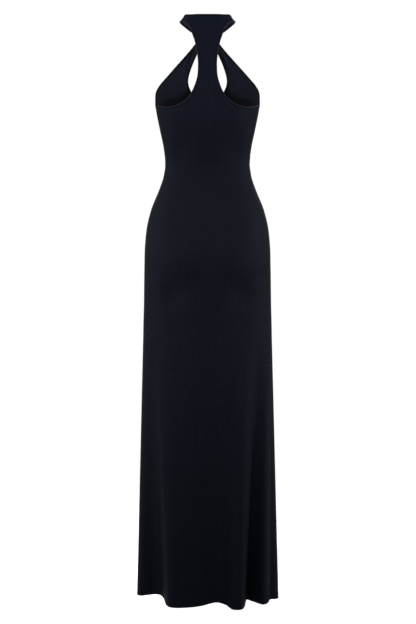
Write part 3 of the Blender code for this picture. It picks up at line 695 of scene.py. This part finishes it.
def arm_points(side):
    """An arm of the front, on the form between its two edges, from the bust to the far side of the neck.

    Waves that run along it gather it towards the throat, and it is lifted over or under the other arm there.
    """
    rows = np.linspace(0, len(ARM_EDGES) - 1, ARM_ROWS + 1)
    row_numbers = np.arange(len(ARM_EDGES))
    inner_h, outer_h, inner_x, outer_x = (
        curve_through(rows, row_numbers, ARM_EDGES[column])
        for column in ("inner_height", "outer_height", "inner_across", "outer_across")
    )
    inner_a, inner_h = inset(180 - angle_of(inner_x, inner_h), inner_h, -1)
    outer_a, outer_h = inset(180 - angle_of(outer_x, outer_h), outer_h, 1)
    inner_a, outer_a = 180 - inner_a, 180 - outer_a
    inner_a[-1] = outer_a[-1] = -90.0
    share = np.linspace(0, 1, ARM_COLUMNS + 1)[None, :]
    height = inner_h[:, None] * (1 - share) + outer_h[:, None] * share
    angle = side * (inner_a[:, None] * (1 - share) + outer_a[:, None] * share)
    points = on_form(180 - angle, height)
    outward = unit(points * [1, 1, 0])
    up_arm = smooth_step(GATHERS_BEGIN, 1.0, np.minimum(rows / THROAT_ROW, 1.0))
    fade = up_arm * (1 - smooth_step(*GATHERS_END, rows))
    width = np.linalg.norm(points[:, 0] - points[:, -1], axis=-1)
    fade = (fade * np.minimum(1.0, width / GATHER_FULL_WIDTH))[:, None]
    lean = GATHER_LEAN * side * np.sin(rows / GATHER_LEAN_ROWS)[:, None]
    waves = sum(g["depth"] * np.cos(2 * np.pi * (g["waves"] * (share + lean) + g["shift"])) for g in GATHERS)
    crossing = side * CROSSING_LIFT * np.exp(-((points[..., 0] / CROSSING_SPREAD) ** 2))
    crossing = crossing * smooth_step(*CROSSING_BEGINS, height)
    return points + outward * (fade * waves + crossing)[..., None], 180 - angle, height


def front_cloth():
    """The front in one piece: skirt, bodice, and the two arms of the halter round the keyhole."""
    cloth = Cloth()
    foot_angle, foot_height = inset(180 - KEYHOLE_FOOT["angle"], KEYHOLE_FOOT["height"], -1)
    side_angle, side_height = inset(180 - ARMHOLE_FRONT["angle"], ARMHOLE_FRONT["height"], -1)
    foot_angle, side_angle = 180 - foot_angle, 180 - side_angle
    foot_angle[0], side_angle[-1] = 0.0, 90.0
    keyhole_angle, arm_angle = foot_angle[-1], side_angle[0]
    base_share = np.linspace(0, 1, ARM_COLUMNS + 1)[1:]
    half = np.concatenate(
        [
            np.linspace(0, keyhole_angle, KEYHOLE_COLUMNS + 1),
            keyhole_angle + base_share * (arm_angle - keyhole_angle),
            np.linspace(arm_angle, 90, FRONT_SIDE_COLUMNS + 1)[1:],
        ]
    )
    angles = both_sides(half)[::-1]
    turned = np.abs(angles)
    foot = curve_through(turned, foot_angle, foot_height)
    side = curve_through(turned, side_angle, side_height)
    arm_share = np.clip((turned - keyhole_angle) / (arm_angle - keyhole_angle), 0, 1)
    arm = foot_height[-1] + arm_share * (side_height[0] - foot_height[-1])
    top = np.where(turned <= keyhole_angle, foot, np.where(turned < arm_angle, arm, side))
    size = len(BACK_FOLDS)
    places = np.linspace(size, size + len(FRONT_FOLDS), len(angles))
    heights = rows_to(top)
    points, where = skirt_and_body(places[None, :], -180 - angles[None, :], heights)
    main = cloth.add(points, where, heights)

    sides, arms = FRONT_SIDE_COLUMNS, ARM_COLUMNS
    right, left = arm_points(-1), arm_points(1)
    right_row, left_row = main[-1, sides : sides + arms + 1], main[-1, -sides - arms - 1 : -sides]
    right_arm = cloth.add(*(values[:, ::-1] for values in right), right_row)
    left_arm = cloth.add(*left, left_row)
    foot_row = main[-1, sides + arms : -sides - arms]
    edges = {
        "left": np.concatenate([main[-1, -sides:][::-1], left_arm[:, -1]]),
        "right": np.concatenate([main[-1, :sides], right_arm[:, 0]]),
        "keyhole": np.concatenate([right_arm[:0:-1, -1], foot_row, left_arm[1:, 0]]),
        "hem": main[0],
    }
    return cloth, edges, main


class Panels:
    """Both panels with their creases pressed in, worked out once for every operator that needs them."""

    made = {}

    @classmethod
    def of(cls, name):
        if name not in cls.made:
            cloth, edges, main = back_cloth() if name == "back" else front_cloth()
            creases = BACK_CREASES if name == "back" else FRONT_CREASES
            strength = bpy.context.scene.dress_sizes.crease_strength
            normals = cloth.normals()
            depth = crease_depth(creases, cloth.places) * strength
            if name == "front":
                pleats = crease_depth(THROAT_PLEATS, cloth.places) * strength
                depth += pleats
                # Painted shade: the cloth's colour darkens along the throat's pleats, the more the deeper they
                # are.
                cloth.painted_shade = np.clip(pleats * PLEAT_PAINTED_SHADE, 0.0, 1.0)
            depth += seam_dip(cloth.points, ((main, 0), (main, -1)), SEAM_GROOVE_WIDTH, SEAM_GROOVE)
            height, across = cloth.points[:, 2], cloth.points[:, 0]
            at_hem = np.exp(-(((height - HEM_TURN_UP) / HEM_PUCKER_WIDTH) ** 2))
            depth -= HEM_PUCKER * at_hem * (1 + np.sin(2 * np.pi * across / HEM_PUCKER_LENGTH))
            cloth.points = cloth.points + normals * depth[:, None]
            cls.made[name] = (cloth, edges, main, cloth.normals())
        return cls.made[name]


def edge_line(name, edge):
    """A panel's cut edge: its line, its normals, and its directions in the cloth that point off it."""
    cloth, edges, _, normals = Panels.of(name)
    index = edges[edge]
    path, normal = cloth.points[index], normals[index]
    along = unit(np.gradient(path, axis=0))
    beside = unit(np.cross(along, normal))
    corners = cloth.faces[np.isin(cloth.faces, index).any(axis=1)]
    around = cloth.points[np.setdiff1d(corners, index)]
    middle = len(path) // 2
    nearest = around[np.argmin(np.linalg.norm(around - path[middle], axis=1))]
    off_cloth = -np.sign(np.dot(beside[middle], nearest - path[middle]))
    return path, normal, beside * off_cloth


def joined_lines(lines):
    """Lines that follow each other as one, with the two points at the seam between them made one."""
    path, normal, off = lines[0]
    for next_path, next_normal, next_off in lines[1:]:
        path = np.concatenate([path[:-1], (path[-1:] + next_path[:1]) / 2, next_path[1:]])
        normal = np.concatenate([normal[:-1], unit(normal[-1:] + next_normal[:1]), next_normal[1:]])
        off = np.concatenate([off[:-1], unit(off[-1:] + next_off[:1]), next_off[1:]])
    return path, normal, off


def run_along(path):
    """The distance run along a line at each of its points."""
    return np.concatenate([[0.0], np.cumsum(np.linalg.norm(np.diff(path, axis=0), axis=1))])


def resampled(line, spacing):
    """The line's points at even steps along it, with its normals and directions between them."""
    path = line[0]
    run = run_along(path)
    steps = np.linspace(0.0, run[-1], max(2, int(round(run[-1] / spacing)) + 1))
    between = [np.stack([np.interp(steps, run, v[:, k]) for k in range(3)], axis=-1) for v in line]
    return between[0], unit(between[1]), unit(between[2])


def softened(line, rounds=4):
    """The line with its small corners eased: each inner point moves half way to its neighbours' middle."""
    path, normal, off = (v.copy() for v in line)
    for _ in range(rounds):
        for v in (path, normal, off):
            v[1:-1] = v[1:-1] * 0.5 + (v[:-2] + v[2:]) * 0.25
    return path, unit(normal), unit(off)


def binding_piece(name, lines, sizes, finish):
    """A folded strip sewn round a cut edge: a rounded oblong carried along it, centred on the cloth."""
    path, normal, off = softened(resampled(joined_lines(lines), EDGE_STEP))
    half_width, half_depth = sizes.binding_width / 2 + BINDING_OVERLAP, sizes.binding_thickness / 2
    turn = 2 * np.pi * np.arange(BINDING_SIDES) / BINDING_SIDES
    cosine, sine = np.cos(turn), np.sin(turn)
    reach = (np.abs(cosine) ** BINDING_SQUARE + np.abs(sine) ** BINDING_SQUARE) ** (-1 / BINDING_SQUARE)
    out, up = half_width * cosine * reach, half_depth * sine * reach
    centre = path - normal * sizes.cloth_thickness / 2 + off * (BINDING_WIDTH - half_width)
    along = unit(np.gradient(centre, axis=0))
    up_way = unit(normal - along * dot(along, normal)[:, None])
    out_way = unit(np.cross(along, up_way))
    out_way *= np.sign(dot(out_way, off))[:, None]
    rings = centre[:, None] + out_way[:, None] * out[None, :, None] + up_way[:, None] * up[None, :, None]
    flat_map = np.stack(np.broadcast_arrays(turn[None, :] * half_width, run_along(centre)[:, None]), axis=-1)
    faces = tube_faces(len(path), len(turn), dot(np.cross(out_way, up_way), along).mean() > 0)
    piece = mesh_piece(name, rings.reshape(-1, 3), faces, finish, flat_map.reshape(-1, 2))
    # Painted shade on the binding: dark on its stitched lip, and less dark on its side that faces the body,
    # where each lies in shadow.
    stitched_lip = smooth_step(*STITCHED_LIP, -cosine)
    inner_face = INNER_FACE_PAINTED_SHADE * smooth_step(*INNER_FACE, -sine)
    set_painted_shade(piece, np.tile(np.maximum(stitched_lip, inner_face), len(path)))
    return piece


def tube_faces(rings, sides, anticlockwise=True):
    """Faces of a closed tube as lists of corners: squares between its rings, and one face at each end."""
    index = np.arange(rings * sides).reshape(rings, sides)
    turned = np.roll(index, -1, axis=1)
    faces = list(np.stack([index[:-1], turned[:-1], turned[1:], index[1:]], axis=-1).reshape(-1, 4))
    faces += [index[0][::-1], index[-1]]
    return faces if anticlockwise else [face[::-1] for face in faces]


def stitch_row(line, pitch, length, radius):
    """Separate stitches along a line: each a small rounded bar that lies along it, half sunk in the cloth."""
    path, normal, _ = resampled(line, pitch)
    centre = (path[:-1] + path[1:]) / 2
    up = unit(normal[:-1] + normal[1:])
    along = unit(np.diff(path, axis=0))
    beside = unit(np.cross(up, along))
    turn = 2 * np.pi * np.arange(STITCH_SIDES) / STITCH_SIDES
    stations, waists = np.array(STITCH_STATIONS), np.array(STITCH_WAISTS)
    bar = along[:, None, None] * (stations * length)[None, :, None, None]
    across = beside[:, None, None] * np.cos(turn)[None, None, :, None]
    raised = up[:, None, None] * np.sin(turn)[None, None, :, None]
    rings = centre[:, None, None] + bar + (across + raised) * (radius * waists)[None, :, None, None]
    one = tube_faces(len(stations), STITCH_SIDES)
    count = len(stations) * STITCH_SIDES
    faces = [(face + count * k).tolist() for k in range(len(centre)) for face in one]
    return rings.reshape(-1, 3), faces


def add_node(tree, kind, settings=None, inputs=None, links=None):
    """Adds a shader node, sets its properties and sockets, and links sockets to others' outputs."""
    node = tree.nodes.new(kind)
    for name, value in (settings or {}).items():
        setattr(node, name, value)
    for name, value in (inputs or {}).items():
        node.inputs[name].default_value = value
    for name, output in (links or {}).items():
        tree.links.new(output, node.inputs[name])
    return node


def add_bump(tree, height, strength, distance, under=None):
    """A bump that follows the given heights, on top of another bump's normals where there is one."""
    links = {"Height": height} if under is None else {"Height": height, "Normal": under}
    inputs = {"Strength": strength, "Distance": distance}
    return add_node(tree, "ShaderNodeBump", inputs=inputs, links=links).outputs["Normal"]


def new_finish(name):
    """A new material of that name, and its node tree."""
    finish = bpy.data.materials.new(name)
    finish.use_nodes = True
    return finish, finish.node_tree


def knitted_jersey(name, colour, unevenness, roughness):
    """Viscose stretch jersey: a fine knit face, soft and matt, with next to no gloss.

    The knit's wales and courses are 0.7 mm apart on the real cloth. They are drawn 2.8 mm apart, so that
    they show. The dye has taken unevenly, by up to the share that unevenness gives. A point attribute paints
    shade into the colour: it darkens the throat's pleats, a binding's stitched lip and its side that faces the
    body.
    """
    finish, tree = new_finish(name)
    tree.nodes.clear()
    shader = add_node(
        tree,
        "ShaderNodeBsdfPrincipled",
        inputs={"Metallic": 0.0, "IOR": 1.45, "Specular IOR Level": 0.012},
    )
    output = add_node(tree, "ShaderNodeOutputMaterial")
    tree.links.new(shader.outputs["BSDF"], output.inputs["Surface"])
    lie = add_node(tree, "ShaderNodeUVMap", {"uv_map": "cloth_metres"}).outputs["UV"]
    knit_scale = WAVE_TEXTURE_PERIOD / KNIT_PITCH
    wales, courses = (
        add_node(
            tree,
            "ShaderNodeTexWave",
            {"wave_type": "BANDS", "bands_direction": direction, "wave_profile": "SIN"},
            {"Scale": knit_scale, "Distortion": distortion, "Detail": 1.0, "Detail Scale": 1.5},
            {"Vector": lie},
        )
        for direction, distortion in (("X", 0.6), ("Y", 0.4))
    )
    loops = add_node(
        tree,
        "ShaderNodeMath",
        {"operation": "MULTIPLY"},
        links={0: wales.outputs["Fac"], 1: courses.outputs["Fac"]},
    )
    where = add_node(tree, "ShaderNodeTexCoord").outputs["Object"]
    mottle = add_node(
        tree,
        "ShaderNodeTexNoise",
        inputs={"Scale": 210.0, "Detail": 3.0, "Roughness": 0.6},
        links={"Vector": where},
    )
    tone = add_node(
        tree,
        "ShaderNodeMapRange",
        inputs={"From Min": 0.32, "From Max": 0.68, "To Min": 0.0, "To Max": 1.0},
        links={"Value": mottle.outputs["Fac"]},
    )
    dye = add_node(
        tree,
        "ShaderNodeMix",
        {"data_type": "RGBA"},
        {"A": shade(colour, 1 - unevenness), "B": shade(colour)},
        {"Factor": tone.outputs["Result"]},
    )
    # Painted shade: where the point attribute marks shadow, the colour darkens to a small share of itself.
    painted_shade = add_node(tree, "ShaderNodeAttribute", {"attribute_name": "painted_shade"}).outputs["Fac"]
    colour_in_painted_shade = add_node(
        tree,
        "ShaderNodeMix",
        {"data_type": "RGBA"},
        {"B": shade(colour, PAINTED_SHADE_SHARE)},
        {"Factor": painted_shade, "A": dye.outputs["Result"]},
    )
    tree.links.new(colour_in_painted_shade.outputs["Result"], shader.inputs["Base Color"])
    polish = add_node(
        tree,
        "ShaderNodeMapRange",
        inputs={"To Min": roughness + 0.06, "To Max": roughness - 0.06},
        links={"Value": loops.outputs[0]},
    )
    tree.links.new(polish.outputs["Result"], shader.inputs["Roughness"])
    knit = add_bump(tree, loops.outputs[0], 0.35, 0.00025)
    uneven = add_bump(tree, mottle.outputs["Fac"], 0.25, 0.0006, under=knit)
    tree.links.new(uneven, shader.inputs["Normal"])
    return finish


def sewing_thread(name, colour):
    """Spun polyester thread, twisted: matt, as dark as the cloth, with its ply as fine slanted lines."""
    finish, tree = new_finish(name)
    shader = tree.nodes["Principled BSDF"]
    shader.inputs["Roughness"].default_value = 0.65
    shader.inputs["Specular IOR Level"].default_value = 0.02
    where = add_node(tree, "ShaderNodeTexCoord").outputs["Object"]
    ply = add_node(
        tree,
        "ShaderNodeTexWave",
        {"wave_type": "BANDS", "bands_direction": "DIAGONAL"},
        {"Scale": 500.0, "Distortion": 1.0},
        {"Vector": where},
    )
    dye = add_node(
        tree,
        "ShaderNodeMix",
        {"data_type": "RGBA"},
        {"A": shade(colour, 0.6), "B": shade(colour)},
        {"Factor": ply.outputs["Fac"]},
    )
    tree.links.new(dye.outputs["Result"], shader.inputs["Base Color"])
    tree.links.new(add_bump(tree, ply.outputs["Fac"], 0.4, 0.0001), shader.inputs["Normal"])
    return finish


def painted_floor(name, colour):
    """A studio floor painted matt white: soft, even, with a trace of roller texture."""
    finish, tree = new_finish(name)
    shader = tree.nodes["Principled BSDF"]
    shader.inputs["Roughness"].default_value = 0.85
    shader.inputs["Specular IOR Level"].default_value = 0.1
    shader.inputs["Base Color"].default_value = shade(colour)
    grain = add_node(tree, "ShaderNodeTexNoise", inputs={"Scale": 60.0, "Detail": 3.0})
    tree.links.new(add_bump(tree, grain.outputs["Fac"], 0.05, 0.001), shader.inputs["Normal"])
    return finish


def finish_named(name, make, **looks):
    """The material of that name, made the first time it is asked for."""
    return bpy.data.materials.get(name) or make(name, **looks)


def jersey():
    """The cloth's outer side: near-black navy, a little uneven in its dye."""
    colour = bpy.context.scene.dress_colours.cloth
    return finish_named("stretch_jersey", knitted_jersey, colour=colour, unevenness=0.44, roughness=0.62)


def painted_lit_jersey_inside():
    """The cloth's looped inner side: rougher than the outer one, and a shade lighter as painted light, which
    makes up for the light that the inside does not get.
    """
    colour = bpy.context.scene.dress_colours.inside
    return finish_named("stretch_jersey_inside", knitted_jersey, colour=colour, unevenness=0.3, roughness=0.7)


def painted_lit_binding_jersey():
    """The same jersey as a stretched, folded strip: a little browner than the panels, and lighter as a painted
    highlight along its rounded bead.
    """
    colour = bpy.context.scene.dress_colours.binding
    return finish_named(
        "folded_jersey_binding", knitted_jersey, colour=colour, unevenness=0.2, roughness=0.66
    )


def thread():
    """The hem's sewing thread."""
    return finish_named("polyester_thread", sewing_thread, colour=bpy.context.scene.dress_colours.thread)


def distance(name, description, default):
    """A length in metres, as the sidebar shows it."""
    return FloatProperty(
        name=name, description=description, default=default, subtype="DISTANCE", unit="LENGTH"
    )


class DressSizes(bpy.types.PropertyGroup):
    """Sizes that the looks are made to"""

    cloth_thickness: distance("Cloth thickness", "Thickness of the jersey", 0.0009)
    hem_thickness: distance("Hem thickness", "Thickness of the hem where it is turned up", 0.0018)
    binding_width: distance("Binding width", "Width of the folded edge", 0.0043)
    binding_thickness: distance("Binding thickness", "Thickness of the folded edge", 0.0026)
    stitch_length: distance("Stitch length", "Length of one stitch", 0.0026)
    stitch_pitch: distance("Stitch pitch", "Distance from one stitch to the next", 0.0034)
    thread_thickness: distance("Thread thickness", "Thickness of the thread", 0.0004)
    crease_strength: FloatProperty(
        name="Crease strength",
        description="How deep the soft creases are, 1 as in the photograph",
        default=1.0,
        min=0.0,
    )


class DressColours(bpy.types.PropertyGroup):
    """Colours of the cloth, the thread and the studio floor"""

    cloth: StringProperty(
        name="Cloth", description="Colour of the jersey, as sRGB hex", default="#08090e"
    )
    # The inside colour is lighter than the cloth's: painted light, which makes up for the light that the inside
    # does not get.
    inside: StringProperty(
        name="Cloth, inside",
        description="Colour of the jersey's looped inner side, as sRGB hex",
        default="#111115",
    )
    # The binding's colour is lighter than the cloth's: a painted highlight along the rounded bead.
    binding: StringProperty(
        name="Binding", description="Colour of the folded edges, as sRGB hex", default="#131013"
    )
    thread: StringProperty(
        name="Thread", description="Colour of the sewing thread, as sRGB hex", default="#06070b"
    )
    floor: StringProperty(
        name="Floor", description="Colour of the studio floor, as sRGB hex", default="#fdfdfd"
    )


def panel_piece(node, name):
    """One panel of the dress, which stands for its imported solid, with the hem's turn-up as a thicker band."""
    sizes = bpy.context.scene.dress_sizes
    cloth, _, _, normals = Panels.of(node)
    turned = 1 - smooth_step(HEM_TURN_UP, HEM_TURN_UP + HEM_STEP, cloth.points[:, 2])
    thickness = sizes.cloth_thickness + (sizes.hem_thickness - sizes.cloth_thickness) * turned
    piece = shell(name, cloth, normals, thickness, jersey(), painted_lit_jersey_inside())
    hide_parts(node)


class DRESS_OT_back(bpy.types.Operator):
    """Make the back panel: skirt, racer back, strip and collar in one"""

    bl_idname = "dress.back"
    bl_label = "Back panel"

    def execute(self, context):
        panel_piece("back", "back_panel")
        return {"FINISHED"}


class DRESS_OT_front(bpy.types.Operator):
    """Make the front panel: skirt, bodice and the two arms of the halter"""

    bl_idname = "dress.front"
    bl_label = "Front panel"

    def execute(self, context):
        panel_piece("front", "front_panel")
        return {"FINISHED"}


class DRESS_OT_bindings(bpy.types.Operator):
    """Make the folded edges round the armholes, the keyhole and the nape"""

    bl_idname = "dress.bindings"
    bl_label = "Bound edges"

    def execute(self, context):
        sizes = context.scene.dress_sizes
        for side in ("left", "right"):
            lines = [edge_line("back", side), edge_line("front", side)]
            piece = binding_piece(f"armhole_edge_{side}", lines, sizes, painted_lit_binding_jersey())
            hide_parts(f"armhole_binding_{side}")
        piece = binding_piece("keyhole_edge", [edge_line("front", "keyhole")], sizes, painted_lit_binding_jersey())
        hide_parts("keyhole_binding")
        piece = binding_piece("nape_edge", [edge_line("back", "nape")], sizes, painted_lit_binding_jersey())
        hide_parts("nape_binding")
        return {"FINISHED"}


class DRESS_OT_stitching(bpy.types.Operator):
    """Sew the hem with two rows of stitches"""

    bl_idname = "dress.stitching"
    bl_label = "Hem stitching"

    def execute(self, context):
        sizes = context.scene.dress_sizes
        points, faces = [], []
        for name in ("back", "front"):
            cloth, _, main, normals = Panels.of(name)
            heights = cloth.places[main[:, 0], 1]
            for below_edge in STITCH_ROWS:
                height = HEM_TURN_UP - below_edge
                row = np.searchsorted(heights, height)
                share = (height - heights[row - 1]) / (heights[row] - heights[row - 1])
                below, above = main[row - 1], main[row]
                line = cloth.points[below] * (1 - share) + cloth.points[above] * share
                up = unit(normals[below] * (1 - share) + normals[above] * share)
                new_points, new_faces = stitch_row(
                    (line, up, up), sizes.stitch_pitch, sizes.stitch_length, sizes.thread_thickness / 2
                )
                start = sum(len(p) for p in points)
                points.append(new_points)
                faces += [[corner + start for corner in face] for face in new_faces]
        mesh = bpy.data.meshes.new("hem_stitches")
        mesh.from_pydata((np.concatenate(points) - [0.0, 0.0, NECK_CENTRE]).tolist(), [], faces)
        mesh.materials.append(thread())
        mesh.shade_smooth()
        piece = placed("hem_stitches", mesh)
        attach(piece, "root")
        return {"FINISHED"}


def soft_light(name, place, aim, size, power, spread, tint):
    """A rectangular soft light at a place from the hem, turned to face the dress at the height of its aim."""
    place = Vector(place) - Vector((0.0, 0.0, NECK_CENTRE))
    target = Vector((0.0, 0.0, aim - NECK_CENTRE))
    lamp = bpy.data.lights.new(name, "AREA")
    lamp.color = tint
    lamp.shape = "RECTANGLE"
    lamp.size, lamp.size_y = size
    lamp.energy = power
    lamp.spread = math.radians(spread)
    light = placed(name, lamp)
    light.location = place
    light.rotation_euler = (place - target).to_track_quat("Z", "Y").to_euler()
    light.visible_camera = False


class DRESS_OT_studio(bpy.types.Operator):
    """Lay the pale floor, hang the soft lights and set the camera"""

    bl_idname = "dress.studio"
    bl_label = "Studio"

    def execute(self, context):
        scene = context.scene
        hem = -NECK_CENTRE
        half = FLOOR_SIZE / 2
        mesh = bpy.data.meshes.new("floor")
        level = hem - FLOOR_DROP
        mesh.from_pydata(
            [(-half, -half, level), (half, -half, level), (half, half, level), (-half, half, level)],
            [],
            [(0, 1, 2, 3)],
        )
        paint = finish_named("matt_white_floor", painted_floor, colour=scene.dress_colours.floor)
        mesh.materials.append(paint)
        floor = placed("floor", mesh)

        world = bpy.data.worlds.new("white_studio")
        scene.world = world
        world.use_nodes = True
        sky = world.node_tree.nodes["Background"].inputs
        sky["Color"].default_value = (1.0, 1.0, 1.0, 1.0)
        sky["Strength"].default_value = WORLD_STRENGTH
        scene.view_settings.view_transform = "Standard"

        for light in LIGHTS:
            soft_light(*light)

        lens = bpy.data.cameras.new("camera")
        lens.lens = CAMERA_LENS
        lens.sensor_width = SENSOR_WIDTH
        lens.sensor_fit = "AUTO"
        camera = placed("camera", lens)
        camera.location = (CAMERA_ASIDE, CAMERA_DISTANCE, hem + CAMERA_HEIGHT)
        camera.rotation_euler = (math.radians(90), 0.0, math.radians(180))
        scene.camera = camera
        return {"FINISHED"}


class VIEW3D_PT_dress(bpy.types.Panel):
    """The dress's sizes, colours and build steps in the sidebar"""

    bl_label = "Halter maxi dress"
    bl_idname = "VIEW3D_PT_dress"
    bl_space_type = "VIEW_3D"
    bl_region_type = "UI"
    bl_category = "Dress"

    def draw(self, context):
        layout = self.layout
        for group in (context.scene.dress_sizes, context.scene.dress_colours):
            for name in group.__annotations__:
                layout.prop(group, name)
        for operator in OPERATORS:
            layout.operator(operator.bl_idname)


OPERATORS = (DRESS_OT_back, DRESS_OT_front, DRESS_OT_bindings, DRESS_OT_stitching, DRESS_OT_studio)
CLASSES = (DressSizes, DressColours, *OPERATORS, VIEW3D_PT_dress)


def register():
    for cls in CLASSES:
        bpy.utils.register_class(cls)
    bpy.types.Scene.dress_sizes = PointerProperty(type=DressSizes)
    bpy.types.Scene.dress_colours = PointerProperty(type=DressColours)


def unregister():
    del bpy.types.Scene.dress_colours
    del bpy.types.Scene.dress_sizes
    for cls in reversed(CLASSES):
        bpy.utils.unregister_class(cls)


def main():
    register()
    bpy.ops.dress.back()
    bpy.ops.dress.front()
    bpy.ops.dress.bindings()
    bpy.ops.dress.stitching()
    bpy.ops.dress.studio()
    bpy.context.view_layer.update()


if __name__ == "__main__":
    main()
